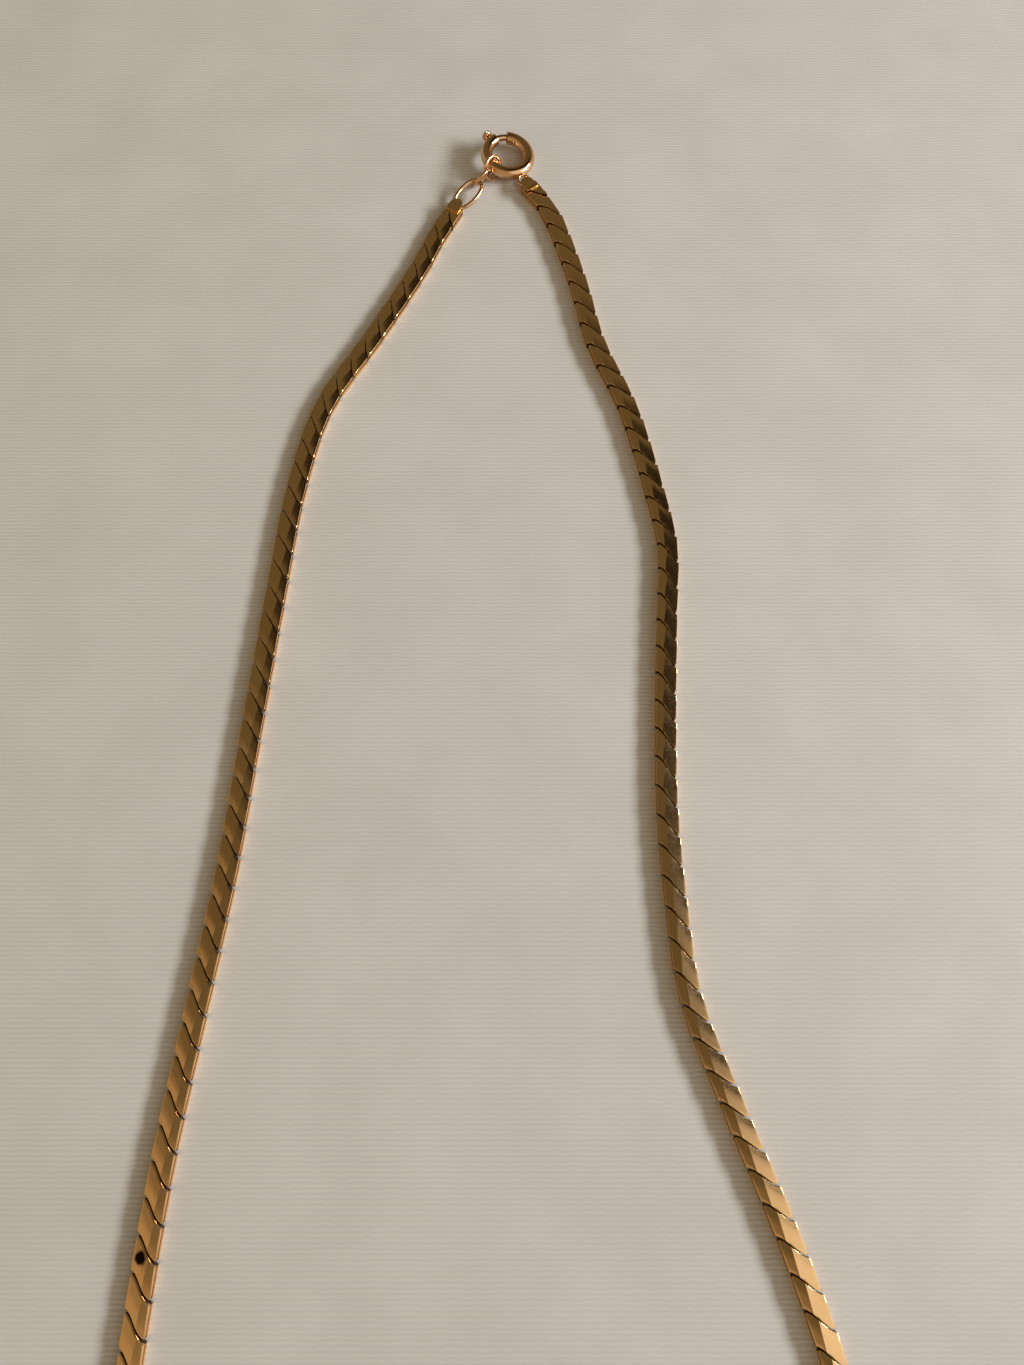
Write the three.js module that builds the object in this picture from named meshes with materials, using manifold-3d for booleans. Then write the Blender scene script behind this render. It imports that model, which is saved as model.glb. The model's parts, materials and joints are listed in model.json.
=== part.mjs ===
// A gold-tone flat-link chain necklace, closed by a spring ring clasp and lying flat in a long loop.
// Millimetres, +Z up, the table at z = 0. The clasp is at the back (+Y), the front of the loop at -Y.
import * as THREE from 'three';
import { mergeVertices } from 'three/addons/utils/BufferGeometryUtils.js';
import Module from 'manifold-3d';

const wasm = await Module();
wasm.setup();

// Chain: flat folded links, three to a segment, joined by a tongue in a socket at each segment's end
const LINK_PITCH = 4.4;
const LINK_WIDTH = 3.2;
const LINK_THICKNESS = 1.7;
const LINK_EDGE_BEVEL = 0.35;
const LINKS_PER_SEGMENT = 3;
const SEAM_GAP = 0.22;        // square across a seam
const SEAM_SLOPE = 1.1;       // how far a seam runs along the chain for each millimetre across it
const BRIDGE_WIDTH = 1.4;
const BRIDGE_THICKNESS = 0.8;
const BRIDGE_LENGTH = 2.4;
const BULB_RADIUS = 0.7;
const BULB_SIDES = 8;
const TONGUE_ROOT = 1.0;      // how far the tongue runs back into its own piece
const BULB_DEPTH = 1.0;       // from the seam's middle to the bulb's axis, which is the hinge
const TONGUE_THICKNESS = 0.5;
const NECK_WIDTH = 0.7;
const SOCKET_CLEARANCE = 0.2;
const SOCKET_HEIGHT = 1.04;
const SOCKET_MOUTH_REACH = 1;  // how far the cut for the mouth runs back out through the seam
const FOLD_RANGE_DEG = 10;    // each way, at each hinge of the chain

// The loop's centre line between its end links: down the right side, round the front and up the left
const RIGHT_HEADING_DEG = -55;
const LEFT_HEADING_DEG = 62;
const LEAD_IN = 4;
const ROUTE = [
  [11.3, 124], [14.4, 110.5], [19.6, 97], [23.2, 82], [24.9, 72],
  [24.3, 60], [23.4, 45], [22.9, 30], [23.5, 16], [25, 2.5], [30, -11.7], [36.3, -28], [41, -43],
  [44.5, -60], [44, -80], [36, -100], [19.5, -113], [-2, -118], [-23, -112], [-39, -97.5],
  [-47, -78], [-48.6, -58], [-48.1, -41], [-46.6, -20], [-44.2, -1.5], [-41.3, 20], [-39.2, 43],
  [-37.4, 62], [-35.1, 83], [-31.6, 97.5], [-23.6, 112], [-16.3, 126],
];

// End links: an open strip folded over the ring it hangs on
const END_STRIP_THICKNESS = 0.35;
const END_SLOT_HEIGHT = 1.25;
const END_STRIP_WIDTH = 2.5;
const END_BLOCK_LENGTH = 2.25;
const END_WIRE_REACH = 2.87;  // from the seam's middle to the wire it hangs on
const END_LENGTH = 4.1;
const END_STRIP_LAP = 0.15;    // how far the strips run into the block
const END_POST_CLEARANCE = 0.17;
const END_RIGHT_POST_HALF = 0.28;
const END_LEFT_POST_HALF = 0.22;
const END_POST_SETBACK = 0.05; // the post's faces sit this far inside the strips' outer faces
const CUT_OVERRUN = 1;         // how far a cut runs past what it cuts, in millimetres or degrees

// Spring ring clasp
const CLASP_X = -0.8;
const CLASP_Y = 150.3;
const CLASP_Z = 1.7;
const CLASP_TILT_DEG = 9;
const CLASP_HIGH_SIDE_DEG = 165;
const CASE_RADIUS = 3.95;     // to the middle of the tube
const CASE_TUBE_RADIUS = 1.0;
const CASE_BORE_RADIUS = 0.78;
const MOUTH_START_DEG = 92;
const MOUTH_END_DEG = 126;
const BORE_END_DEG = 262;
const TIP_POCKET_DEG = 12;
const BOLT_RADIUS = 0.55;
const BOLT_TIP_DEG = 85;
const BOLT_TAIL_DEG = 190;
const BOLT_TRAVEL_DEG = 42;
const THUMB_DEG = 135;
const THUMB_SHANK_RADIUS = 0.27;
const THUMB_HEAD_RADIUS = 0.72;
const THUMB_HEAD_HEIGHT = 1.0;
const THUMB_SEAT_CLEARANCE = 0.05;
const THUMB_NECK_STANDOFF = 0.12;
const THUMB_HEAD_FLARE = 0.1;
const THUMB_CROWN_HEIGHT = 0.3;
const THUMB_CROWN_DROP = 0.05;
const THUMB_CROWN_SHARE = 0.7; // of the head's radius
const SLOT_HEIGHT = 0.8;
const SLOT_SPARE_DEG = 5;     // past the thumb tab at the end of its travel
const SPRING_COIL_RADIUS = 0.5;
const SPRING_WIRE_RADIUS = 0.09;
const SPRING_TURNS = 9;
const SPRING_END_GAP_DEG = 2.5;
const EYE_DEG = 300;
const EYE_RADIUS = 1.05;
const EYE_WIRE_RADIUS = 0.3;
const EYE_REACH = 5.9;        // from the clasp's middle to the eye's
const EYE_SEAM_GAP = 0.05;
const EYE_SEAT_HALF_DEG = 40;

// Rings between the clasp and the left end of the chain, in a line that leaves the clasp at RING_LINE_DEG
const RING_LINE_DEG = 230;
const RING_WIRE_RADIUS = 0.31;
const HOOK_RING = { radius: 1.9, reach: 4.2, z: 2.06, leanDeg: -23 };
const LINK_RING = { radius: 1.85, reach: 7.18, z: 2.12, leanDeg: 25 };
const JUMP_RING = { halfLength: 3.1, halfWidth: 1.7, wireRadius: 0.36, reach: 11.14, z: 1.41, dropDeg: 8.9 };

const GOLD = 0xc9a24a;
const PALE_GOLD = 0xd8b565;
const STEEL = 0xb9bcc0;

function material(color, roughness) {
  return new THREE.MeshStandardMaterial({ color, roughness, metalness: 1 });
}

const linkMaterial = material(GOLD, 0.22);
const claspMaterial = material(PALE_GOLD, 0.18);
const springMaterial = material(STEEL, 0.35);

// Solids

function weld(geometry) {
  geometry.deleteAttribute('normal');
  geometry.deleteAttribute('uv');
  return mergeVertices(geometry, 1e-5);
}

function solid(geometry) {
  const welded = weld(geometry);
  return new wasm.Manifold(new wasm.Mesh({
    numProp: 3,
    vertProperties: new Float32Array(welded.attributes.position.array),
    triVerts: new Uint32Array(welded.index.array),
  }));
}

function geometryOf(manifold) {
  const mesh = manifold.getMesh();
  const geometry = new THREE.BufferGeometry();
  geometry.setAttribute('position', new THREE.BufferAttribute(new Float32Array(mesh.vertProperties), 3));
  geometry.setIndex(new THREE.BufferAttribute(new Uint32Array(mesh.triVerts), 1));
  return geometry;
}

// Skins a row of equal rings of points. Open rows get a flat cap at each end.
function skin(rings, closed) {
  const sides = rings[0].length;
  const spans = closed ? rings.length : rings.length - 1;
  const positions = rings.flat().flatMap((p) => [p.x, p.y, p.z]);
  const index = [];
  for (let i = 0; i < spans; i += 1) {
    const here = i * sides;
    const next = ((i + 1) % rings.length) * sides;
    for (let j = 0; j < sides; j += 1) {
      const k = (j + 1) % sides;
      index.push(here + j, here + k, next + k, here + j, next + k, next + j);
    }
  }
  if (!closed) {
    const last = (rings.length - 1) * sides;
    for (let j = 1; j < sides - 1; j += 1) {
      index.push(0, j + 1, j, last, last + j, last + j + 1);
    }
  }
  const geometry = new THREE.BufferGeometry();
  geometry.setAttribute('position', new THREE.Float32BufferAttribute(positions, 3));
  geometry.setIndex(index);
  return geometry;
}

function circle(radius, sides) {
  return Array.from({ length: sides }, (_, i) => {
    const angle = (i / sides) * Math.PI * 2;
    return new THREE.Vector2(radius * Math.cos(angle), radius * Math.sin(angle));
  });
}

// Sweeps a profile of (outward, up) points about the clasp's axis
function arcSweep(profile, radius, startDeg, endDeg, steps) {
  const rings = [];
  for (let i = 0; i <= steps; i += 1) {
    const angle = THREE.MathUtils.degToRad(startDeg + ((endDeg - startDeg) * i) / steps);
    rings.push(profile.map((p) => new THREE.Vector3(
      (radius + p.x) * Math.cos(angle),
      (radius + p.x) * Math.sin(angle),
      p.y,
    )).reverse());
  }
  return skin(rings, false);
}

// A closed wire ring in the XY plane, round or oval
function wireRing(halfLength, halfWidth, wireRadius, steps, sides) {
  const profile = circle(wireRadius, sides);
  const rings = Array.from({ length: steps }, (_, i) => {
    const angle = (i / steps) * Math.PI * 2;
    const middle = new THREE.Vector3(halfLength * Math.cos(angle), halfWidth * Math.sin(angle), 0);
    const outward = new THREE.Vector3(halfWidth * Math.cos(angle), halfLength * Math.sin(angle), 0);
    outward.normalize();
    return profile.map((p) => middle.clone().addScaledVector(outward, p.x).setZ(p.y)).reverse();
  });
  return skin(rings, true);
}

function box(length, width, height, x, y, z) {
  return new THREE.BoxGeometry(length, width, height).translate(x, y, z);
}

function upright(radius, height, sides, x, z) {
  return new THREE.CylinderGeometry(radius, radius, height, sides).rotateX(Math.PI / 2).translate(x, 0, z);
}

// Where the clasp and the rings sit

const claspTilt = new THREE.Matrix4().makeRotationAxis(
  new THREE.Vector3(
    Math.sin(THREE.MathUtils.degToRad(CLASP_HIGH_SIDE_DEG)),
    -Math.cos(THREE.MathUtils.degToRad(CLASP_HIGH_SIDE_DEG)),
    0,
  ),
  THREE.MathUtils.degToRad(CLASP_TILT_DEG),
);
const claspFrame = new THREE.Matrix4().makeTranslation(CLASP_X, CLASP_Y, CLASP_Z).multiply(claspTilt);

const eyeAngle = THREE.MathUtils.degToRad(EYE_DEG);
const eyeFarWire = new THREE.Vector3(Math.cos(eyeAngle), Math.sin(eyeAngle), 0)
  .multiplyScalar(EYE_REACH + EYE_RADIUS)
  .applyMatrix4(claspFrame);

function ringPlace(reach, z) {
  const angle = THREE.MathUtils.degToRad(RING_LINE_DEG);
  return new THREE.Matrix4().makeTranslation(
    CLASP_X + reach * Math.cos(angle),
    CLASP_Y + reach * Math.sin(angle),
    z,
  ).multiply(new THREE.Matrix4().makeRotationZ(angle));
}

const jumpTilt = new THREE.Matrix4().makeRotationY(THREE.MathUtils.degToRad(JUMP_RING.dropDeg));
const jumpPlace = ringPlace(JUMP_RING.reach, JUMP_RING.z).multiply(jumpTilt);
const jumpFarWire = new THREE.Vector3(JUMP_RING.halfLength, 0, 0).applyMatrix4(jumpPlace);

// Frames along the chain: x onward along the chain, y to its left, z up

function leadPoints(wire, headingDeg) {
  const heading = THREE.MathUtils.degToRad(headingDeg);
  const away = new THREE.Vector3(Math.cos(heading), Math.sin(heading), 0);
  const flat = wire.clone().setZ(0);
  return [0, LEAD_IN].map((lead) => flat.clone().addScaledVector(away, END_WIRE_REACH + lead));
}

const route = new THREE.CatmullRomCurve3([
  ...leadPoints(eyeFarWire, RIGHT_HEADING_DEG),
  ...ROUTE.map(([x, y]) => new THREE.Vector3(x, y, 0)),
  ...leadPoints(jumpFarWire, LEFT_HEADING_DEG + 180).reverse(),
], false, 'centripetal');
route.arcLengthDivisions = 4000;
const segmentCount = Math.round(route.getLength() / (LINK_PITCH * LINKS_PER_SEGMENT));
const linkCount = LINKS_PER_SEGMENT * segmentCount;

function seamFrame(seam) {
  const share = seam / linkCount;
  const onward = route.getTangentAt(share);
  const left = new THREE.Vector3(-onward.y, onward.x, 0);
  return new THREE.Matrix4()
    .makeBasis(onward, left, new THREE.Vector3(0, 0, 1))
    .setPosition(route.getPointAt(share));
}

const sectionHalf = LINK_WIDTH / 2;
const gapAlong = SEAM_GAP * Math.hypot(1, SEAM_SLOPE);
const midHeight = LINK_THICKNESS / 2;

// The link's section, as (left, up) points seen from behind
function linkSection() {
  const inner = sectionHalf - LINK_EDGE_BEVEL;
  const top = LINK_THICKNESS;
  const bevel = LINK_EDGE_BEVEL;
  return [
    [sectionHalf, bevel], [sectionHalf, top - bevel], [inner, top], [-inner, top],
    [-sectionHalf, top - bevel], [-sectionHalf, bevel], [-inner, 0], [inner, 0],
  ];
}

function seamRing(frame, slope, along) {
  return linkSection().map(([left, up]) => (
    new THREE.Vector3(along + slope * left, left, up).applyMatrix4(frame)
  ));
}

function linkSolid(seam) {
  const behind = seamRing(seamFrame(seam), SEAM_SLOPE, gapAlong / 2);
  const ahead = seamRing(seamFrame(seam + 1), SEAM_SLOPE, -gapAlong / 2);
  return solid(skin([behind, ahead], false));
}

function bridgeSolid(seam) {
  const bar = box(BRIDGE_LENGTH, BRIDGE_WIDTH, BRIDGE_THICKNESS, 0, 0, midHeight);
  return solid(bar.applyMatrix4(seamFrame(seam)));
}

// The tongue stands out of the piece behind a seam, with its bulb inside the piece ahead of it
function tongueSolid(frame) {
  const length = BULB_DEPTH + TONGUE_ROOT;
  const neck = box(length, NECK_WIDTH, TONGUE_THICKNESS, (BULB_DEPTH - TONGUE_ROOT) / 2, 0, midHeight);
  const bulb = upright(BULB_RADIUS, TONGUE_THICKNESS, BULB_SIDES, BULB_DEPTH, midHeight);
  return solid(neck.applyMatrix4(frame)).add(solid(bulb.applyMatrix4(frame)));
}

function socketSolid(frame) {
  const mouthWidth = NECK_WIDTH + 2 * SOCKET_CLEARANCE;
  const length = BULB_DEPTH + SOCKET_MOUTH_REACH;
  const middle = (BULB_DEPTH - SOCKET_MOUTH_REACH) / 2;
  const mouth = box(length, mouthWidth, SOCKET_HEIGHT, middle, 0, midHeight);
  const pocket = upright(BULB_RADIUS + SOCKET_CLEARANCE, SOCKET_HEIGHT, BULB_SIDES, BULB_DEPTH, midHeight);
  return solid(mouth.applyMatrix4(frame)).add(solid(pocket.applyMatrix4(frame)));
}

function hingePoint(seam) {
  return new THREE.Vector3(BULB_DEPTH, 0, midHeight).applyMatrix4(seamFrame(seam));
}

function segmentGeometry(segment) {
  const first = segment * LINKS_PER_SEGMENT;
  const end = first + LINKS_PER_SEGMENT;
  let body = linkSolid(first);
  for (let seam = first + 1; seam < end; seam += 1) {
    body = body.add(linkSolid(seam)).add(bridgeSolid(seam));
  }
  return geometryOf(body.subtract(socketSolid(seamFrame(first))).add(tongueSolid(seamFrame(end))));
}

// An end link in its own frame: x from the seam towards the ring it hangs on
function endLinkSolid(postHalfWidth, postStart) {
  const block = skin([
    seamRing(new THREE.Matrix4(), SEAM_SLOPE, gapAlong / 2),
    seamRing(new THREE.Matrix4(), 0, END_BLOCK_LENGTH),
  ], false);
  const stripLength = END_LENGTH - END_BLOCK_LENGTH + END_STRIP_LAP;
  const stripMiddle = END_LENGTH - stripLength / 2;
  const height = END_SLOT_HEIGHT + 2 * END_STRIP_THICKNESS;
  const strips = solid(box(stripLength, END_STRIP_WIDTH, height, stripMiddle, 0, height / 2));
  const slotLength = END_LENGTH - END_BLOCK_LENGTH + CUT_OVERRUN;
  const slotMiddle = END_BLOCK_LENGTH + slotLength / 2;
  const slotWidth = END_STRIP_WIDTH + CUT_OVERRUN;
  const slot = box(slotLength, slotWidth, END_SLOT_HEIGHT, slotMiddle, 0, height / 2);
  const postLength = END_LENGTH - postStart;
  const postMiddle = postStart + postLength / 2;
  const post = box(postLength, postHalfWidth * 2, height - 2 * END_POST_SETBACK, postMiddle, 0, height / 2);
  return solid(block).add(strips).subtract(solid(slot)).add(solid(post));
}

function caseGeometry() {
  const tubeEnd = 360 + MOUTH_START_DEG;
  const tube = solid(arcSweep(circle(CASE_TUBE_RADIUS, 12), CASE_RADIUS, MOUTH_END_DEG, tubeEnd, 30));
  const mouthCut = MOUTH_END_DEG - CUT_OVERRUN;
  const bore = solid(arcSweep(circle(CASE_BORE_RADIUS, 10), CASE_RADIUS, mouthCut, BORE_END_DEG, 13));
  const pocketStart = MOUTH_START_DEG - TIP_POCKET_DEG;
  const pocketEnd = MOUTH_START_DEG + CUT_OVERRUN;
  const pocket = solid(arcSweep(circle(CASE_BORE_RADIUS, 10), CASE_RADIUS, pocketStart, pocketEnd, 2));
  const half = SLOT_HEIGHT / 2;
  const outer = CASE_TUBE_RADIUS + CUT_OVERRUN;
  const slotProfile = [[0, -half], [outer, -half], [outer, half], [0, half]]
    .map(([x, y]) => new THREE.Vector2(x, y));
  const slotEnd = THUMB_DEG + BOLT_TRAVEL_DEG + SLOT_SPARE_DEG;
  const slot = solid(arcSweep(slotProfile, CASE_RADIUS, mouthCut, slotEnd, 10));
  return geometryOf(tube.subtract(bore).subtract(pocket).subtract(slot));
}

function thumbAxis() {
  const angle = THREE.MathUtils.degToRad(THUMB_DEG);
  return new THREE.Matrix4().makeRotationZ(angle).multiply(new THREE.Matrix4().makeRotationZ(-Math.PI / 2));
}

function boltGeometry() {
  const rod = solid(arcSweep(circle(BOLT_RADIUS, 10), CASE_RADIUS, BOLT_TIP_DEG, BOLT_TAIL_DEG, 12));
  const seatRadius = THUMB_SHANK_RADIUS + THUMB_SEAT_CLEARANCE;
  const seat = new THREE.CylinderGeometry(seatRadius, seatRadius, BOLT_RADIUS * 2, 10)
    .translate(0, CASE_RADIUS + BOLT_RADIUS, 0);
  return geometryOf(rod.subtract(solid(seat.applyMatrix4(thumbAxis()))));
}

function thumbGeometry() {
  const foot = CASE_RADIUS + THUMB_SEAT_CLEARANCE;
  const neck = CASE_RADIUS + CASE_TUBE_RADIUS + THUMB_NECK_STANDOFF;
  const crown = neck + THUMB_HEAD_HEIGHT;
  const profile = [
    [0, foot],
    [THUMB_SHANK_RADIUS, foot],
    [THUMB_SHANK_RADIUS, neck],
    [THUMB_HEAD_RADIUS, neck + THUMB_HEAD_FLARE],
    [THUMB_HEAD_RADIUS, crown - THUMB_CROWN_HEIGHT],
    [THUMB_HEAD_RADIUS * THUMB_CROWN_SHARE, crown - THUMB_CROWN_DROP],
    [0, crown],
  ].map(([x, y]) => new THREE.Vector2(x, y));
  return weld(new THREE.LatheGeometry(profile, 12)).applyMatrix4(thumbAxis());
}

class SpringCurve extends THREE.Curve {
  getPoint(t, target = new THREE.Vector3()) {
    const start = BOLT_TAIL_DEG + SPRING_END_GAP_DEG;
    const end = BORE_END_DEG - SPRING_END_GAP_DEG;
    const angle = THREE.MathUtils.degToRad(start + (end - start) * t);
    const turn = t * SPRING_TURNS * Math.PI * 2;
    const radius = CASE_RADIUS + SPRING_COIL_RADIUS * Math.cos(turn);
    return target.set(radius * Math.cos(angle), radius * Math.sin(angle), SPRING_COIL_RADIUS * Math.sin(turn));
  }
}

function springGeometry() {
  const wire = new THREE.Shape(circle(SPRING_WIRE_RADIUS, 5));
  const options = { steps: SPRING_TURNS * 10, extrudePath: new SpringCurve(), bevelEnabled: false };
  return weld(new THREE.ExtrudeGeometry(wire, options));
}

function eyeGeometry() {
  const ring = wireRing(EYE_RADIUS, EYE_RADIUS, EYE_WIRE_RADIUS, 20, 8)
    .translate(EYE_REACH * Math.cos(eyeAngle), EYE_REACH * Math.sin(eyeAngle), 0);
  const seat = circle(CASE_TUBE_RADIUS + EYE_SEAM_GAP, 16);
  const [cutStart, cutEnd] = [EYE_DEG - EYE_SEAT_HALF_DEG, EYE_DEG + EYE_SEAT_HALF_DEG];
  const cut = arcSweep(seat, CASE_RADIUS, cutStart, cutEnd, 12);
  return geometryOf(solid(ring).subtract(solid(cut)));
}

// Rings

// A round ring whose plane holds the ring line, leaning from upright
function roundRingPlace({ reach, z, leanDeg }) {
  const fromFlat = THREE.MathUtils.degToRad(90 - leanDeg);
  return ringPlace(reach, z).multiply(new THREE.Matrix4().makeRotationX(fromFlat));
}

function roundRing(ring) {
  return wireRing(ring.radius, ring.radius, RING_WIRE_RADIUS, 24, 8).applyMatrix4(roundRingPlace(ring));
}

function jumpRingGeometry() {
  const { halfLength, halfWidth, wireRadius } = JUMP_RING;
  return wireRing(halfLength, halfWidth, wireRadius, 28, 8).applyMatrix4(jumpPlace);
}

// Assembly

const meshes = [];

function addMesh(name, geometry, look, matrix = new THREE.Matrix4()) {
  const mesh = new THREE.Mesh(geometry.applyMatrix4(matrix), look);
  mesh.name = name;
  meshes.push(mesh);
  return mesh;
}

addMesh('clasp_case', caseGeometry(), claspMaterial, claspFrame);
addMesh('clasp_eye', eyeGeometry(), claspMaterial, claspFrame);
addMesh('clasp_bolt', boltGeometry(), claspMaterial, claspFrame);
addMesh('clasp_thumb_tab', thumbGeometry(), claspMaterial, claspFrame);
addMesh('clasp_spring', springGeometry(), springMaterial, claspFrame);
addMesh('hook_ring', roundRing(HOOK_RING), claspMaterial);
addMesh('link_ring', roundRing(LINK_RING), claspMaterial);
addMesh('jump_ring', jumpRingGeometry(), claspMaterial);

// The right end link runs back from seam 0 to the eye; the left one runs on from the last seam
const turnBack = new THREE.Matrix4().makeRotationZ(Math.PI);
const rightPostStart = END_WIRE_REACH + EYE_WIRE_RADIUS + END_POST_CLEARANCE;
const leftPostStart = END_WIRE_REACH + JUMP_RING.wireRadius + END_POST_CLEARANCE;
const rightEnd = solid(geometryOf(endLinkSolid(END_RIGHT_POST_HALF, rightPostStart))
  .applyMatrix4(seamFrame(0).multiply(turnBack)));
addMesh('end_link_right', geometryOf(rightEnd.add(tongueSolid(seamFrame(0)))), linkMaterial);
const leftEnd = endLinkSolid(END_LEFT_POST_HALF, leftPostStart).subtract(socketSolid(new THREE.Matrix4()));
addMesh('end_link_left', geometryOf(leftEnd), linkMaterial, seamFrame(linkCount));

for (let segment = 0; segment < segmentCount; segment += 1) {
  const number = String(segment + 1).padStart(2, '0');
  addMesh(`chain_segment_${number}`, segmentGeometry(segment), linkMaterial);
}

// The origin is under the middle of the whole necklace, on the table
const bounds = new THREE.Box3();
meshes.forEach((mesh) => bounds.expandByObject(mesh));
const middle = bounds.getCenter(new THREE.Vector3());
const recentre = new THREE.Vector3(-middle.x, -middle.y, -bounds.min.z);
meshes.forEach((mesh) => mesh.geometry.translate(recentre.x, recentre.y, recentre.z));

const necklace = new THREE.Group();
necklace.name = 'necklace';
necklace.add(...meshes);

// The lines that the pieces turn about, in the necklace's own frame
function axisLine(matrix, axis) {
  return {
    point: new THREE.Vector3().setFromMatrixPosition(matrix).add(recentre).toArray(),
    axis: axis.clone().transformDirection(matrix).toArray(),
  };
}

const alongX = new THREE.Vector3(1, 0, 0);
const alongZ = new THREE.Vector3(0, 0, 1);
necklace.userData = {
  foldRangeDeg: FOLD_RANGE_DEG,
  boltTravelDeg: BOLT_TRAVEL_DEG,
  endHinges: [eyeFarWire, jumpFarWire].map((wire) => wire.clone().add(recentre).toArray()),
  chainHinges: Array.from({ length: segmentCount + 1 }, (_, segment) => (
    hingePoint(segment * LINKS_PER_SEGMENT).add(recentre).toArray()
  )),
  bolt: axisLine(claspFrame, alongZ),
  hookRing: axisLine(roundRingPlace(HOOK_RING), alongZ),
  linkRing: axisLine(roundRingPlace(LINK_RING), alongZ),
  jumpRing: axisLine(jumpPlace, alongX),
};

export default necklace;
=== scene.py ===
"""A gold-tone flat-link chain necklace with a spring ring clasp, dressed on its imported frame."""
import json
import math

import bmesh
import bpy
from mathutils import Matrix, Vector


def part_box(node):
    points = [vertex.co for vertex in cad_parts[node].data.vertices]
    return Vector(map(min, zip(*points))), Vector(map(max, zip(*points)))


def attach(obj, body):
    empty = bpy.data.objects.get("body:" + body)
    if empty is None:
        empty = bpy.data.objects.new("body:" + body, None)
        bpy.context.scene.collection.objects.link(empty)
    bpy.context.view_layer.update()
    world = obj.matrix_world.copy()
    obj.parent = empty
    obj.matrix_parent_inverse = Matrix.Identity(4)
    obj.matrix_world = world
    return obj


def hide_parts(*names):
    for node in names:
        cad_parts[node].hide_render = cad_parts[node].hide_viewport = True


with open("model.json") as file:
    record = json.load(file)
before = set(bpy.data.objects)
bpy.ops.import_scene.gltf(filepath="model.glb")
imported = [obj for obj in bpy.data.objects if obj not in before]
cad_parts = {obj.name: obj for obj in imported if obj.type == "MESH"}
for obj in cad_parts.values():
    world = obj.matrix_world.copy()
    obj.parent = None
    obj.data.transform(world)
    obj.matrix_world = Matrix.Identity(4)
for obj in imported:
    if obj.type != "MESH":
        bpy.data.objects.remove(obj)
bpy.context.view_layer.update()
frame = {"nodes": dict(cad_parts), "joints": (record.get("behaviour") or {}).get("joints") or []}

# The view: a hand-held camera above the necklace, tipped towards the clasp, close enough that the
# front of the loop runs out of the picture.
CAMERA_PLACE = (0.001821, -0.017804, 0.1502)
CAMERA_TIP_DEG = 18.13
CAMERA_LENS = 27.03

camera_data = bpy.data.cameras.new("camera")
camera_data.lens = CAMERA_LENS
camera_data.sensor_width = 36
camera = bpy.data.objects.new("camera", camera_data)
camera.location = CAMERA_PLACE
camera.rotation_euler = (math.radians(CAMERA_TIP_DEG), 0, 0)
bpy.context.scene.collection.objects.link(camera)
bpy.context.scene.camera = camera
bpy.context.scene.view_settings.view_transform = "Standard"

# Chain links. Each is a brass strip stamped to a low roof, folded under itself and gold plated. Its
# tongue hooks into the slot in the back of the next link, and the seam between them runs aslant.
MM = 0.001
LINK_PITCH = 4.4
LINK_LENGTH = 4.073
LINK_HALF_WIDTH = 1.6
LINK_THICKNESS = 1.7
LINK_RIM_HEIGHT = 0.00135
SEAM_REACH = 1.76           # how far along the chain a seam runs from its middle to the link's side
SEAM_BOW = 0.35             # how much steeper the seam is in its middle than at its ends
LINK_TRIM = 0.05            # each side of a link is this much inside its full width
LINK_TWIST = 0.05           # how far each end of a link is turned aside
RIDGE_ROW = -0.42
RIDGE_SLANT = 0.14
LEFT_FALL = math.tan(math.radians(12))
RIGHT_FALL = math.tan(math.radians(15))
TUCK_DEPTH = 0.1            # how far the back of a link dips under the one behind it
TUCK_LENGTH = 1.5
ROWS_ACROSS = (-1.3, -0.85, RIDGE_ROW, 0, 0.42, 0.85, 1.3)
ROWS_ALONG = (0.3, 0.75, 1.35, 2.4, 3.5)
FOLD_LOW = 0.6
FOLD_HIGH = 1.1
FOLD_DEPTH = 0.12
TONGUE_LENGTH = 0.75
TONGUE_TIP_SHARE = 0.25      # of the tongue's thickness, left at its tip
TONGUE_HALF_WIDTH = 0.42
SLOT_DEPTH = 1.9
SLOT_HALF_WIDTH = 0.85
SLOT_SPREAD = 0.27
LINK_EDGE_ROUND = 0.07
LINK_CORNER_ROUND = 0.28
LINK_SMOOTH_DEG = 20        # the bevels stay faceted, and the ridge and the flats stay crisp
LAST_ROW_MARGIN = 0.3       # a row nearer than this to the end of the blank is left out
TONGUE_TIP_WIDTH_SHARE = 0.8
EPS = 1e-4
CUT_THRESHOLD = 1e-5


def clear_selection():
    for thing in list(bpy.context.selected_objects):
        thing.select_set(False)


def pick(piece, kind, wanted):
    """In edit mode, selects just the verts, edges or faces whose middle is wanted."""
    bpy.ops.mesh.select_mode(type={"verts": "VERT", "edges": "EDGE", "faces": "FACE"}[kind])
    bpy.ops.mesh.select_all(action="DESELECT")
    mesh = bmesh.from_edit_mesh(piece.data)
    for part in getattr(mesh, kind):
        corners = [part] if kind == "verts" else list(part.verts)
        if wanted(sum((corner.co for corner in corners), Vector()) / len(corners), part):
            part.select_set(True)
    mesh.select_flush_mode()
    bmesh.update_edit_mesh(piece.data)


def cut_across(axis, places):
    """In edit mode, cuts the whole mesh square to an axis at each place."""
    for place in places:
        bpy.ops.mesh.select_all(action="SELECT")
        spot, square = Vector(), Vector()
        spot[axis], square[axis] = place, 1
        bpy.ops.mesh.bisect(plane_co=spot, plane_no=square, threshold=CUT_THRESHOLD)


def smooth(piece, angle_deg):
    clear_selection()
    piece.select_set(True)
    bpy.context.view_layer.objects.active = piece
    bpy.ops.object.shade_smooth_by_angle(angle=math.radians(angle_deg), keep_sharp_edges=True)


def ease(value):
    value = min(max(value, 0), 1)
    return value * value * (3 - 2 * value)


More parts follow.
